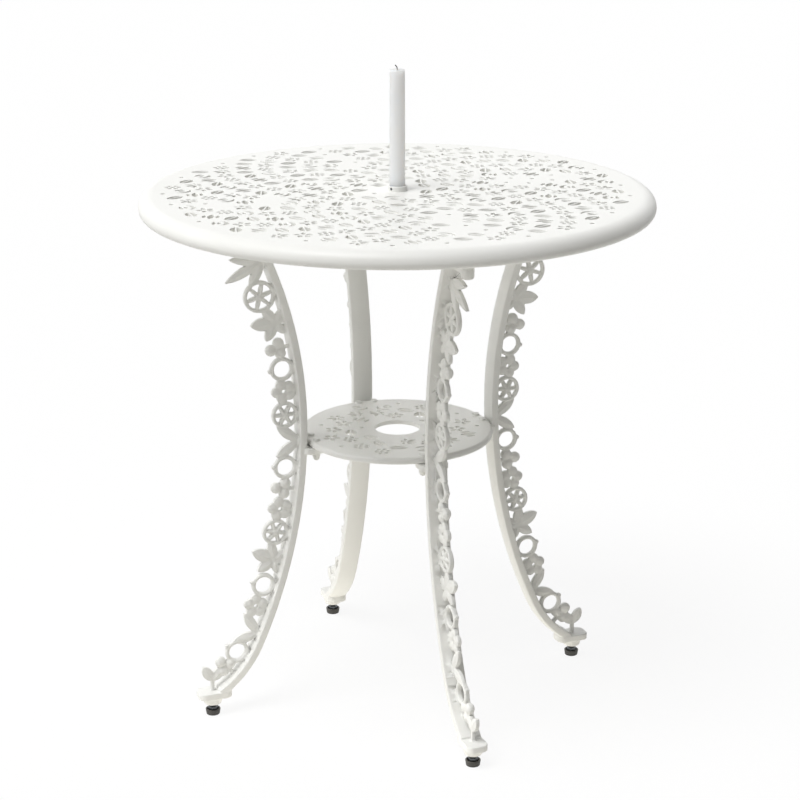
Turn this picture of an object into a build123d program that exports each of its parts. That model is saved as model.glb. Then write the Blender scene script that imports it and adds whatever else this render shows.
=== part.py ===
from build123d import *
import os
from math import asin, atan2, cos, degrees, hypot, radians, sin, sqrt

# Overall sizes of the table, in millimetres. The origin is on the floor, on the table's axis.
table_height = 750
top_diameter = 720
leg_sides = ["right", "back", "left", "front"]

# Cast top: a flat pierced plate inside a smooth border and a rounded, turned-down rim.
top_plate_thickness = 6
top_border_width = 28
rim_depth = 25
rim_round_width = 19
rim_round_depth = 16
lip_round_width = 7
lip_width = 13
lip_inner_round = 5
hub_radius = 22
hub_depth = 6

# Sockets cast under the top, one pair for each leg, joined by a web.
joint_drop = 53
inner_socket_radius = 188
outer_socket_radius = 252
socket_tip_diameter = 18
socket_root_diameter = 24
socket_web_thickness = 6
socket_web_drop = 20

# Leg strip: bowed in at the waist, swept out to the foot.
strip_width = 30
strip_thickness = 10
strip_crown = 3
leg_top_radius = 201
waist_radius = 142
waist_height = 428
knee_radius = 214
knee_height = 100
foot_circle_radius = 287
foot_end_setback = 12
strip_foot_margin = 0.5
lace_thickness = 6

# Leg arm under the sockets, and its lugs.
arm_width = 13
arm_depth = 8
lug_diameter = 18
lug_depth = 14
lug_round = 3.5

# Foot pad and boss, with the levelling foot under it.
boss_bottom_height = 17
boss_height = 10
boss_tip_diameter = 25
boss_root_diameter = 29
boss_round = 2
pad_thickness = 9.5
pad_width = 31
pad_inner_reach = 27
pad_outer_reach = 22
pad_round = 10
stud_diameter = 8
stud_pitch = 1.25
stud_engagement = 15
stud_seat_gap = 0.3
glide_height = 8.5
glide_top_diameter = 21.5
glide_base_diameter = 19.5
glide_recess_diameter = 16.5
glide_recess_depth = 3
glide_floor = 3
glide_edge_round = 1
foot_nut_across_flats = 13
foot_nut_height = 6.5

# Shelf at the waist, on two screws at each leg.
shelf_height = 402
shelf_diameter = 275
shelf_plate_thickness = 6
shelf_edge_depth = 10
shelf_border_width = 15
shelf_edge_round = 4
shelf_hole_diameter = 65
shelf_hole_border = 9
shelf_screw_setback = 9.5
shelf_screw_spread = 12
shelf_lug_thickness = 8
shelf_lug_width = 42
shelf_lug_reach = 21
shelf_lug_round = 8
shelf_lug_overlap = 5

# Screws, washers and nuts.
screw_diameter = 6
screw_head_diameter = 10
screw_head_height = 6
socket_key_across_flats = 5
socket_key_depth = 3
shelf_head_diameter = 11
shelf_head_height = 3
shelf_head_taper = 14
shelf_slot_width = 1.6
shelf_slot_depth = 1.3
washer_diameter = 11
washer_thickness = 1
cap_nut_across_flats = 10
cap_nut_hex_height = 5
cap_nut_height = 11
top_screw_grip = 18
hole_clearance = 0.3
running_clearance = 0.05

# Candle cup in the middle of the top, with its ring nut and clamping screw, and the candle.
collar_diameter = 28
collar_height = 7.5
collar_round = 1
cup_neck_diameter = 25.4
cup_depth = 26
cup_floor = 4
cup_drain_diameter = 5
ring_nut_across_flats = 34
ring_nut_height = 6
clamp_screw_diameter = 4
clamp_screw_height = 4
clamp_screw_length = 2
clamp_screw_angle = 210
clamp_key_across_flats = 2
clamp_key_depth = 1
candle_diameter = 22
candle_top_diameter = 21
candle_fit = 0.3
candle_length = 195
candle_shoulder_round = 2
candle_dish_radius = 6
candle_dish_depth = 1.2
wick_diameter = 1.6
wick_rise = 7
wick_buried = 8
wick_lean = 3
wick_lean_angle = 159

# Pierced foliage: opening sizes, how far apart the motifs stand on the top and on the shelf, and how they
# turn. The two steps are the shares of a cycle by which the kind and the turn change from place to place.
motif_spacing = 30
shelf_motif_spacing = 29
split_leaf_length = 26
split_leaf_half_width = 6.8
split_leaf_rib = 2.4
single_leaf_length = 26
single_leaf_width = 9
side_leaf_length = 15
side_leaf_width = 5
side_leaf_offset = 9.2
sprig_leaf_length = 13
sprig_leaf_width = 5.6
sprig_spread = 42
sprig_root_setback = 4.3
sprig_leaf_inset = 3.8
sprig_berry_setback = 8.4
sprig_side_spread = 100
sprig_side_inset = 4.2
sprig_side_length = 8
sprig_side_width = 4.2
petal_length = 10
petal_width = 6.4
petal_inset = 3.2
petal_count = 5
berry_radius = 3.1
berry_ring_radius = 8.6
berry_count = 3
berry_ring_count = 6
tendril_length = 25
tendril_outer_bow = 11
tendril_inner_bow = 5.5
tendril_leaf_length = 11
tendril_leaf_width = 4.6
tendril_low_leaf_length = 17
tendril_low_leaf_width = 5
tendril_low_leaf_offset = 9.2
swirl_angle = 62
swirl_scatter = 80
lone_berry_room = 6
motif_kind_step = 0.7549
motif_turn_step = 0.5698

# Foliage along each leg: rosettes, rings, leaves and berries growing from the strip.
stalk_width = 5
stalk_root = 2
rosette_radius = 23
small_rosette_radius = 19.5
rosette_band = 5
rosette_hub_radius = 6
rosette_petal_width = 6
rosette_petal_count = 6
ring_radius = 17.5
ring_band = 5.5
ring_bead_radius = 3.2
flower_petal_circle = 10.4
flower_petal_radius = 7.6
flower_heart_radius = 9.4
flower_petal_count = 5
flower_eye_radius = 3
ivy_leaf_length = 37
ivy_leaf_width = 19
ivy_stalk_length = 13
ivy_lobe_angles = [12, 64, -46, 128, -112]
ivy_lobe_shares = [1, 0.8, 0.8, 0.56, 0.56]
berry_bead_radius = 8
berry_cluster_radius = 8.6
berry_stalk_length = 19
twin_leaf_length = 40
twin_leaf_width = 15
twin_leaf_angle = 34
plume_leaf_lengths = [49, 62, 42]
plume_leaf_angles = [28, -4, -38]
plume_leaf_width = 14
foliage_foot_gap = 20
bud_stem_height = 17
bud_length = 27
bud_width = 15
bud_leaf_angles = [60, 130]

# Places that follow from the sizes above.
top_radius = top_diameter / 2
plate_radius = top_radius - rim_round_width
openwork_radius = top_radius - top_border_width
joint_height = table_height - joint_drop
plate_underside = table_height - top_plate_thickness
shelf_radius = shelf_diameter / 2
shelf_bottom = shelf_height - shelf_edge_depth
shelf_screw_radius = shelf_radius - shelf_screw_setback
lug_top = shelf_bottom
lug_bottom = lug_top - shelf_lug_thickness
pad_bottom = boss_bottom_height + boss_height
pad_top = pad_bottom + pad_thickness
leg_count = len(leg_sides)
leg_angles = [360 / leg_count * index for index in range(leg_count)]
golden_angle = 180 * (3 - sqrt(5))

os.makedirs("parts", exist_ok=True)


def keep(piece, name):
    """Label a finished piece and write it to its own file."""
    piece.label = name
    export_step(piece, "parts/" + name + ".step")


def leaf_outline(length, width):
    """Pointed leaf that starts at the origin and lies along X."""
    with BuildSketch() as leaf:
        with BuildLine():
            SagittaArc((0, 0), (length, 0), width / 2)
            SagittaArc((length, 0), (0, 0), width / 2)
        make_face()
    return leaf.sketch


# Openings of the pierced foliage, each drawn about its own middle.
with BuildSketch() as split_leaf:
    for side in (-1, 1):
        with BuildLine():
            rib_edge = side * split_leaf_rib / 2
            rib = Line((-split_leaf_length / 2, rib_edge), (split_leaf_length / 2, rib_edge))
            SagittaArc(rib @ 1, rib @ 0, -side * split_leaf_half_width)
        make_face()

with BuildSketch() as single_leaf:
    with Locations((-single_leaf_length / 2, 0)):
        add(leaf_outline(single_leaf_length, single_leaf_width))
    with Locations(*[(-side_leaf_length / 2, side * side_leaf_offset) for side in (-1, 1)]):
        add(leaf_outline(side_leaf_length, side_leaf_width))

with BuildSketch() as sprig:
    for spread in (-sprig_spread, 0, sprig_spread):
        with Locations(Location((-sprig_root_setback, 0), spread)):
            with Locations((sprig_leaf_inset, 0)):
                add(leaf_outline(sprig_leaf_length, sprig_leaf_width))
    for spread in (-sprig_side_spread, sprig_side_spread):
        with Locations(Location((-sprig_root_setback, 0), spread)):
            with Locations((sprig_side_inset, 0)):
                add(leaf_outline(sprig_side_length, sprig_side_width))
    with Locations((-sprig_berry_setback, 0)):
        Circle(berry_radius)

with BuildSketch() as rosette_openings:
    with PolarLocations(petal_inset, petal_count):
        add(leaf_outline(petal_length, petal_width))

with BuildSketch() as berry_openings:
    Circle(berry_radius)
    with PolarLocations(berry_ring_radius, berry_ring_count):
        Circle(berry_radius)

with BuildSketch() as lone_berry:
    Circle(berry_radius)

with BuildSketch() as tendril:
    with BuildLine():
        SagittaArc((-tendril_length / 2, 0), (tendril_length / 2, 0), tendril_outer_bow)
        SagittaArc((-tendril_length / 2, 0), (tendril_length / 2, 0), tendril_inner_bow)
    make_face()
    with Locations((-tendril_leaf_length / 2, -tendril_leaf_width / 2)):
        add(leaf_outline(tendril_leaf_length, tendril_leaf_width))
    with Locations((-tendril_low_leaf_length / 2, -tendril_low_leaf_offset)):
        add(leaf_outline(tendril_low_leaf_length, tendril_low_leaf_width))

# The last motif fills the spots that have no room for a whole one.
motifs = [split_leaf, tendril, sprig, single_leaf, rosette_openings, split_leaf, berry_openings, lone_berry]


def motif_places(inner_radius, outer_radius, spacing, clear_spots):
    """Spread motifs over a ring on a sunflower spiral, and return each motif's places in turn."""
    spiral_step = spacing / sqrt(3)
    places = [[] for motif in motifs]
    reach = spacing / 2
    for index in range(int((outer_radius / spiral_step) ** 2)):
        radius = spiral_step * sqrt(index + 0.5)
        angle = golden_angle * index
        spot = (radius * cos(radians(angle)), radius * sin(radians(angle)))
        free = [hypot(spot[0] - x, spot[1] - y) - room for x, y, room in clear_spots]
        room_around = min(free + [radius - inner_radius, outer_radius - radius])
        if room_around < lone_berry_room:
            continue
        kind = int(index * motif_kind_step % 1 * (len(motifs) - 1)) if room_around >= reach else -1
        turn = angle + swirl_angle + (index * motif_turn_step % 1 - 0.5) * swirl_scatter
        places[kind].append(Location(spot, turn))
    return places


def pierced_disc(radius, hole_radius, places):
    """Disc with a round hole in the middle and the motifs' openings."""
    openings = [Wire.make_circle(hole_radius)]
    for motif, spots in zip(motifs, places):
        for spot in spots:
            openings.extend(face.outer_wire().moved(spot) for face in motif.sketch.faces())
    return Face(Wire.make_circle(radius), openings)


# Table top: the border and rim, then sockets, webs and hub underneath, then the pierced plate.
socket_spots = [
    (radius * cos(radians(angle)), radius * sin(radians(angle)))
    for angle in leg_angles
    for radius in (inner_socket_radius, outer_socket_radius)
]
socket_clear = [(x, y, socket_root_diameter / 2) for x, y in socket_spots]
top_places = motif_places(hub_radius, openwork_radius, motif_spacing, socket_clear)

with BuildPart() as table_top:
    with BuildSketch(Plane.XZ):
        with BuildLine():
            crown = EllipticalCenterArc(
                (plate_radius, table_height - rim_round_depth), rim_round_width, rim_round_depth, 0, arc_size=90
            )
            lip = EllipticalCenterArc(
                (top_radius - lip_round_width, table_height - rim_round_depth),
                lip_round_width,
                rim_depth - rim_round_depth,
                -90,
                arc_size=90,
            )
            lip_inside = top_radius - lip_width
            Polyline(
                lip @ 0,
                (lip_inside, table_height - rim_depth),
                (lip_inside - lip_inner_round, plate_underside),
                (plate_radius, plate_underside),
                crown @ 1,
            )
        make_face()
    revolve(axis=Axis.Z)
    with Locations(*[(x, y, (plate_underside + joint_height) / 2) for x, y in socket_spots]):
        Cone(socket_tip_diameter / 2, socket_root_diameter / 2, plate_underside - joint_height)
    with BuildSketch(Plane.XY.offset(plate_underside)):
        with PolarLocations((inner_socket_radius + outer_socket_radius) / 2, leg_count):
            Rectangle(outer_socket_radius - inner_socket_radius, socket_web_thickness)
    extrude(amount=-socket_web_drop)
    with Locations(*[(x, y, joint_height) for x, y in socket_spots]):
        Cylinder(
            screw_diameter / 2 + running_clearance,
            top_screw_grip + 2 * hole_clearance,
            align=(Align.CENTER, Align.CENTER, Align.MIN),
            mode=Mode.SUBTRACT,
        )
    with BuildSketch(Plane.XY.offset(plate_underside)):
        Circle(hub_radius)
        Circle(cup_neck_diameter / 2 + running_clearance, mode=Mode.SUBTRACT)
    extrude(amount=-hub_depth)
    with BuildSketch(Plane.XY.offset(plate_underside)):
        add(pierced_disc(plate_radius, cup_neck_diameter / 2 + running_clearance, top_places))
    extrude(amount=top_plate_thickness)
keep(table_top.part, "table_top")

# Leg curve: arcs that run on smoothly from the arm to the waist, the knee and the foot.
leg_top_height = joint_height - arm_depth / 2
foot_end_radius = foot_circle_radius - foot_end_setback
foot_end_height = pad_bottom + strip_crown + strip_foot_margin
upper_rise = leg_top_height - waist_height
upper_flare = leg_top_radius - waist_radius
upper_bend = (upper_rise**2 + upper_flare**2) / (2 * upper_flare)
upper_angle = asin(upper_rise / upper_bend)
lower_rise = waist_height - knee_height
lower_flare = knee_radius - waist_radius
lower_bend = (lower_rise**2 + lower_flare**2) / (2 * lower_flare)
lower_angle = asin(lower_rise / lower_bend)
foot_chord = hypot(foot_end_radius - knee_radius, knee_height - foot_end_height)
foot_turn = atan2(foot_end_radius - knee_radius, knee_height - foot_end_height) - lower_angle
foot_bend = foot_chord / (2 * sin(foot_turn))
# Each stretch of the leg: its bend radius, the tilt of its outer face where it starts and ends, and its start.
leg_stretches = [
    (upper_bend, -upper_angle, 0, (leg_top_radius, leg_top_height)),
    (lower_bend, 0, lower_angle, (waist_radius, waist_height)),
    (foot_bend, lower_angle, lower_angle + 2 * foot_turn, (knee_radius, knee_height)),
]
leg_length = sum(bend * (end - start) for bend, start, end, place in leg_stretches)


def beside_leg(distance):
    """Place on the strip's outer face, facing outwards, at a distance along the leg from its top."""
    for bend, start, end, place in leg_stretches:
        tilt = start + distance / bend
        if tilt <= end:
            break
        distance -= bend * (end - start)
    face = bend - strip_thickness
    across = place[0] + bend * cos(start) - face * cos(tilt)
    height = place[1] + bend * sin(start) - face * sin(tilt)
    return Location((across, height), degrees(tilt))


def stalk(length):
    """Straight stalk that starts inside the strip and grows outwards along X."""
    with BuildSketch() as stem:
        with Locations((-stalk_root, 0)):
            Rectangle(length + stalk_root, stalk_width, align=(Align.MIN, Align.CENTER))
    return stem.sketch


def rosette(radius):
    """Ring holding a flower of pointed petals, touching the strip."""
    with BuildSketch() as wheel:
        with Locations((radius - stalk_root / 2, 0)):
            Circle(radius)
            Circle(radius - rosette_band, mode=Mode.SUBTRACT)
            Circle(rosette_hub_radius)
            with PolarLocations(0, rosette_petal_count):
                add(leaf_outline(radius - rosette_band / 2, rosette_petal_width))
    return wheel.sketch


with BuildSketch() as ring:
    with Locations((ring_radius - stalk_root / 2, 0)):
        Circle(ring_radius)
        Circle(ring_radius - ring_band, mode=Mode.SUBTRACT)
    with Locations((2 * ring_radius - stalk_root / 2, 0)):
        Circle(ring_bead_radius)

with BuildSketch() as flower:
    with Locations((flower_petal_circle + flower_petal_radius, 0)):
        with PolarLocations(flower_petal_circle, flower_petal_count):
            Circle(flower_petal_radius)
        Circle(flower_heart_radius)
        Circle(flower_eye_radius, mode=Mode.SUBTRACT)
    add(stalk(stalk_width))

with BuildSketch() as ivy_leaf:
    add(stalk(ivy_stalk_length))
    with Locations((ivy_stalk_length - stalk_root, 0)):
        for lobe_angle, lobe_share in zip(ivy_lobe_angles, ivy_lobe_shares):
            with Locations(Location((0, 0), lobe_angle)):
                add(leaf_outline(ivy_leaf_length * lobe_share, ivy_leaf_width * lobe_share))

with BuildSketch() as berries:
    add(stalk(berry_stalk_length))
    with Locations((berry_stalk_length, 0)):
        with PolarLocations(berry_cluster_radius, berry_count):
            Circle(berry_bead_radius)

with BuildSketch() as twin_leaves:
    for leaf_angle in (-twin_leaf_angle, twin_leaf_angle):
        with Locations(Location((-stalk_root, 0), leaf_angle)):
            add(leaf_outline(twin_leaf_length, twin_leaf_width))

with BuildSketch() as plume:
    for leaf_length, leaf_angle in zip(plume_leaf_lengths, plume_leaf_angles):
        with Locations(Location((-stalk_root, 0), leaf_angle)):
            add(leaf_outline(leaf_length, plume_leaf_width))

# The foliage from the top of the leg down to the foot, each motif taking the length that it needs.
large_rosette = rosette(rosette_radius)
small_rosette = rosette(small_rosette_radius)
foliage = [
    plume.sketch,
    large_rosette,
    ivy_leaf.sketch,
    berries.sketch,
    ring.sketch,
    flower.sketch,
    small_rosette,
    twin_leaves.sketch,
    ring.sketch,
    berries.sketch,
    flower.sketch,
    small_rosette,
    ivy_leaf.sketch,
    ring.sketch,
    flower.sketch,
    twin_leaves.sketch,
    ring.sketch,
    berries.sketch,
]
foliage_lengths = [motif.bounding_box().size.Y for motif in foliage]
foliage_gap = (leg_length - foliage_foot_gap - sum(foliage_lengths)) / len(foliage)

with BuildPart() as leg:
    # Lugs under the sockets and the foot boss, with their lower edges rounded.
    with BuildSketch(Plane.XY.offset(joint_height)):
        with Locations((inner_socket_radius, 0), (outer_socket_radius, 0)):
            Circle(lug_diameter / 2)
    extrude(amount=-lug_depth)
    fillet(leg.edges().group_by(Axis.Z)[0], lug_round)
    with Locations((foot_circle_radius, 0, boss_bottom_height + boss_height / 2)):
        Cone(boss_tip_diameter / 2, boss_root_diameter / 2, boss_height)
    fillet(leg.edges().group_by(Axis.Z)[0], boss_round)
    # Strip, cut level halfway up the arm that joins it to the lugs.
    with BuildLine(Plane.XZ) as bow:
        upper = TangentArc(
            (leg_top_radius, leg_top_height),
            (waist_radius, waist_height),
            tangent=(-sin(upper_angle), -cos(upper_angle)),
        )
        lower = TangentArc(upper @ 1, Vector(knee_radius, 0, knee_height), tangent=upper % 1)
        TangentArc(lower @ 1, Vector(foot_end_radius, 0, foot_end_height), tangent=lower % 1)
    with BuildSketch(Plane(origin=bow.line @ 0, x_dir=(0, 1, 0), z_dir=bow.line % 0)):
        with BuildLine():
            Polyline(
                (-strip_width / 2, 0),
                (-strip_width / 2, strip_thickness),
                (strip_width / 2, strip_thickness),
                (strip_width / 2, 0),
            )
            ThreePointArc((strip_width / 2, 0), (0, -strip_crown), (-strip_width / 2, 0))
        make_face()
    sweep()
    with BuildSketch(Plane.XY.offset(joint_height)):
        with Locations(((inner_socket_radius + outer_socket_radius) / 2, 0)):
            Rectangle(outer_socket_radius - inner_socket_radius, arm_width)
    extrude(amount=-arm_depth)
    # Foliage in the leg's upright plane.
    with BuildSketch(Plane.XZ):
        reached = 0
        for motif, length in zip(foliage, foliage_lengths):
            with Locations(beside_leg(reached + length / 2)):
                add(motif)
            reached += length + foliage_gap
        with Locations((foot_circle_radius, pad_top - stalk_root)):
            Rectangle(stalk_width, bud_stem_height + stalk_root, align=(Align.CENTER, Align.MIN))
        for leaf_angle in bud_leaf_angles:
            with Locations(Location((foot_circle_radius, pad_top + bud_stem_height - stalk_root), leaf_angle)):
                add(leaf_outline(bud_length, bud_width))
    extrude(amount=lace_thickness / 2, both=True)
    # Foot pad over the boss.
    with BuildSketch(Plane.XY.offset(pad_bottom)):
        with Locations((foot_circle_radius + (pad_outer_reach - pad_inner_reach) / 2, 0)):
            RectangleRounded(pad_inner_reach + pad_outer_reach, pad_width, pad_round)
    extrude(amount=pad_thickness)
    # Lug that carries the shelf.
    with BuildSketch(Plane.XY.offset(lug_bottom)):
        lug_inner = shelf_radius - shelf_lug_reach
        lug_outer = waist_radius + shelf_lug_overlap
        with Locations(((lug_inner + lug_outer) / 2, 0)):
            RectangleRounded(lug_outer - lug_inner, shelf_lug_width, shelf_lug_round)
    extrude(amount=shelf_lug_thickness)
    # Screw holes: counterbored from below at the arm, plain at the shelf lug, blind in the foot.
    with Locations(*[
        Location((radius, 0, joint_height - lug_depth), (180, 0, 0))
        for radius in (inner_socket_radius, outer_socket_radius)
    ]):
        CounterBoreHole(
            screw_diameter / 2 + hole_clearance,
            screw_head_diameter / 2 + hole_clearance,
            screw_head_height + washer_thickness,
            depth=lug_depth,
        )
    with Locations(*[(shelf_screw_radius, side * shelf_screw_spread, lug_top) for side in (-1, 1)]):
        Hole(screw_diameter / 2 + hole_clearance, depth=shelf_lug_thickness)
    with Locations((foot_circle_radius, 0, boss_bottom_height)):
        Cylinder(
            stud_diameter / 2 + running_clearance,
            stud_engagement + stud_seat_gap,
            align=(Align.CENTER, Align.CENTER, Align.MIN),
            mode=Mode.SUBTRACT,
        )

for side_name, angle in zip(leg_sides, leg_angles):
    with BuildPart() as turned_leg:
        add(leg.part.rotate(Axis.Z, angle))
    keep(turned_leg.part, "leg_" + side_name)

# Shelf: pierced disc with a thicker rounded border and a plain round hole in the middle.
shelf_plate_radius = shelf_radius - shelf_border_width
shelf_openwork_inner = shelf_hole_diameter / 2 + shelf_hole_border
shelf_places = motif_places(shelf_openwork_inner, shelf_plate_radius, shelf_motif_spacing, [])

with BuildPart() as shelf:
    with BuildSketch(Plane.XY.offset(shelf_height - shelf_plate_thickness)):
        add(pierced_disc(shelf_plate_radius, shelf_hole_diameter / 2, shelf_places))
    extrude(amount=shelf_plate_thickness)
    with BuildSketch(Plane.XY.offset(shelf_bottom)):
        Circle(shelf_radius)
        Circle(shelf_plate_radius, mode=Mode.SUBTRACT)
    extrude(amount=shelf_edge_depth)
    outer_edges = shelf.edges().filter_by(GeomType.CIRCLE).group_by(SortBy.RADIUS)[-1]
    fillet(outer_edges, shelf_edge_round)
    with PolarLocations(0, leg_count):
        with Locations(*[(shelf_screw_radius, side * shelf_screw_spread, shelf_height) for side in (-1, 1)]):
            Hole(screw_diameter / 2 + hole_clearance, depth=shelf_edge_depth)
keep(shelf.part, "shelf")

# Screws that hold the legs to the top, with their washers, in the counterbores of the arm lugs.
counterbore_floor = joint_height - lug_depth + screw_head_height + washer_thickness
with BuildPart() as leg_screws:
    with Locations(*[(x, y, counterbore_floor - washer_thickness) for x, y in socket_spots]):
        Cylinder(
            screw_head_diameter / 2,
            screw_head_height,
            align=(Align.CENTER, Align.CENTER, Align.MAX),
        )
        Cylinder(
            screw_diameter / 2,
            washer_thickness + joint_height - counterbore_floor + top_screw_grip,
            align=(Align.CENTER, Align.CENTER, Align.MIN),
        )
    with BuildSketch(Plane.XY.offset(counterbore_floor - washer_thickness - screw_head_height)):
        with Locations(*socket_spots):
            RegularPolygon(socket_key_across_flats / 2, 6, major_radius=False)
    extrude(amount=socket_key_depth, mode=Mode.SUBTRACT)
keep(leg_screws.part, "leg_screws")

with BuildPart() as leg_screw_washers:
    with BuildSketch(Plane.XY.offset(counterbore_floor)):
        with Locations(*socket_spots):
            Circle(screw_head_diameter / 2)
            Circle(screw_diameter / 2 + running_clearance, mode=Mode.SUBTRACT)
    extrude(amount=-washer_thickness)
keep(leg_screw_washers.part, "leg_screw_washers")

# Screws, washers and cap nuts that hold the shelf to the leg lugs.
shelf_screw_spots = []
for angle in leg_angles:
    for side in (-1, 1):
        spot = Vector(shelf_screw_radius, side * shelf_screw_spread).rotate(Axis.Z, angle)
        shelf_screw_spots.append((spot.X, spot.Y))
nut_face = lug_bottom - washer_thickness

with BuildPart() as shelf_screws:
    with BuildSketch(Plane.XY.offset(shelf_height)):
        with Locations(*shelf_screw_spots):
            Circle(shelf_head_diameter / 2)
    extrude(amount=shelf_head_height, taper=shelf_head_taper)
    with BuildSketch(Plane.XY.offset(shelf_height)):
        with Locations(*shelf_screw_spots):
            Circle(screw_diameter / 2)
    extrude(amount=nut_face - shelf_height - cap_nut_hex_height)
    with BuildSketch(Plane.XY.offset(shelf_height + shelf_head_height)):
        with Locations(*shelf_screw_spots):
            Rectangle(shelf_head_diameter, shelf_slot_width)
    extrude(amount=-shelf_slot_depth, mode=Mode.SUBTRACT)
keep(shelf_screws.part, "shelf_screws")

with BuildPart() as shelf_washers:
    with BuildSketch(Plane.XY.offset(lug_bottom)):
        with Locations(*shelf_screw_spots):
            Circle(washer_diameter / 2)
            Circle(screw_diameter / 2 + running_clearance, mode=Mode.SUBTRACT)
    extrude(amount=-washer_thickness)
keep(shelf_washers.part, "shelf_washers")

with BuildPart() as cap_nut:
    with BuildSketch(Plane.XY.offset(nut_face)):
        RegularPolygon(cap_nut_across_flats / 2, 6, major_radius=False)
    extrude(amount=-cap_nut_hex_height)
    dome_radius = cap_nut_across_flats / 2 - hole_clearance
    with Locations((0, 0, nut_face - cap_nut_height + dome_radius)):
        Sphere(dome_radius)
        Cylinder(
            dome_radius,
            cap_nut_height - dome_radius - cap_nut_hex_height / 2,
            align=(Align.CENTER, Align.CENTER, Align.MIN),
        )
    with BuildSketch(Plane.XY.offset(nut_face)):
        Circle(screw_diameter / 2 + running_clearance)
    extrude(amount=-cap_nut_hex_height - hole_clearance, mode=Mode.SUBTRACT)

with BuildPart() as shelf_cap_nuts:
    with Locations(*shelf_screw_spots):
        add(cap_nut.part)
keep(shelf_cap_nuts.part, "shelf_cap_nuts")

# Candle cup: a turned collar and neck, held from below by a ring nut, with a clamping screw in its side.
hub_underside = plate_underside - hub_depth
candle_foot = table_height - cup_depth
cup_bottom = candle_foot - cup_floor
bore_radius = candle_diameter / 2 + candle_fit
clamp_way = Vector(1, 0, 0).rotate(Axis.Z, clamp_screw_angle)
clamp_plane = Plane(origin=(0, 0, table_height + clamp_screw_height), z_dir=clamp_way)
with BuildPart() as candle_cup:
    with Locations((0, 0, table_height)):
        Cylinder(collar_diameter / 2, collar_height, align=(Align.CENTER, Align.CENTER, Align.MIN))
        Cylinder(cup_neck_diameter / 2, table_height - cup_bottom, align=(Align.CENTER, Align.CENTER, Align.MAX))
    with Locations((0, 0, candle_foot)):
        Cylinder(
            bore_radius,
            cup_depth + collar_height,
            align=(Align.CENTER, Align.CENTER, Align.MIN),
            mode=Mode.SUBTRACT,
        )
        Cylinder(cup_drain_diameter / 2, 2 * cup_floor, mode=Mode.SUBTRACT)
    fillet(candle_cup.faces().sort_by(Axis.Z)[-1].edges(), collar_round)
    with BuildSketch(clamp_plane):
        Circle(clamp_screw_diameter / 2 + running_clearance)
    extrude(amount=collar_diameter / 2, mode=Mode.SUBTRACT)
keep(candle_cup.part, "candle_cup")

with BuildPart() as candle_clamp_screw:
    with BuildSketch(clamp_plane.offset(bore_radius)):
        Circle(clamp_screw_diameter / 2)
    extrude(amount=clamp_screw_length)
    with BuildSketch(clamp_plane.offset(bore_radius + clamp_screw_length)):
        RegularPolygon(clamp_key_across_flats / 2, 6, major_radius=False)
    extrude(amount=-clamp_key_depth, mode=Mode.SUBTRACT)
keep(candle_clamp_screw.part, "candle_clamp_screw")

with BuildPart() as candle_ring_nut:
    with BuildSketch(Plane.XY.offset(hub_underside)):
        RegularPolygon(ring_nut_across_flats / 2, 6, major_radius=False)
        Circle(cup_neck_diameter / 2 + running_clearance, mode=Mode.SUBTRACT)
    extrude(amount=-ring_nut_height)
keep(candle_ring_nut.part, "candle_ring_nut")

# Candle: straight, a little slimmer at the top, with a shallow dish of burnt wax round the wick.
candle_top = candle_foot + candle_length
with BuildPart() as candle:
    with BuildSketch(Plane.XZ):
        with BuildLine():
            dish = TangentArc(
                (0, candle_top - candle_dish_depth),
                (candle_dish_radius, candle_top),
                tangent=(1, 0),
            )
            Line(dish @ 1, (candle_top_diameter / 2 - candle_shoulder_round, candle_top))
            shoulder = RadiusArc(
                (candle_top_diameter / 2 - candle_shoulder_round, candle_top),
                (candle_top_diameter / 2, candle_top - candle_shoulder_round),
                candle_shoulder_round,
            )
            Polyline(
                shoulder @ 1,
                (candle_diameter / 2, candle_foot + cup_depth + collar_height),
                (candle_diameter / 2, candle_foot),
                (0, candle_foot),
                dish @ 0,
            )
        make_face()
    revolve(axis=Axis.Z)
    with Locations((0, 0, candle_top)):
        Cylinder(
            wick_diameter / 2 + running_clearance,
            2 * wick_buried,
            mode=Mode.SUBTRACT,
        )
keep(candle.part, "candle")

with BuildPart() as candle_wick:
    lean_way = Vector(1, 0, 0).rotate(Axis.Z, wick_lean_angle)
    with BuildLine():
        upright = Line((0, 0, candle_top - wick_buried), (0, 0, candle_top))
        TangentArc(
            upright @ 1,
            lean_way * wick_lean + Vector(0, 0, candle_top + wick_rise - candle_dish_depth),
            tangent=upright % 1,
        )
    with BuildSketch(Plane.XY.offset(candle_top - wick_buried)):
        Circle(wick_diameter / 2)
    sweep()
keep(candle_wick.part, "candle_wick")

# Levelling feet: a steel stud in the leg's boss, with a jam nut set in a tapered plastic glide.
stud_bottom = glide_floor + stud_seat_gap
recess_floor = glide_height - glide_recess_depth
with BuildPart() as foot_stud:
    with Locations((foot_circle_radius, 0, stud_bottom)):
        Cylinder(
            stud_diameter / 2,
            boss_bottom_height + stud_engagement - stud_bottom,
            align=(Align.CENTER, Align.CENTER, Align.MIN),
        )
    chamfer(foot_stud.edges().filter_by(GeomType.CIRCLE), stud_pitch / 2)

with BuildPart() as foot_nut:
    with BuildSketch(Plane.XY.offset(recess_floor)):
        with Locations((foot_circle_radius, 0)):
            RegularPolygon(foot_nut_across_flats / 2, 6, major_radius=False)
            Circle(stud_diameter / 2 + running_clearance, mode=Mode.SUBTRACT)
    extrude(amount=foot_nut_height)

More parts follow.
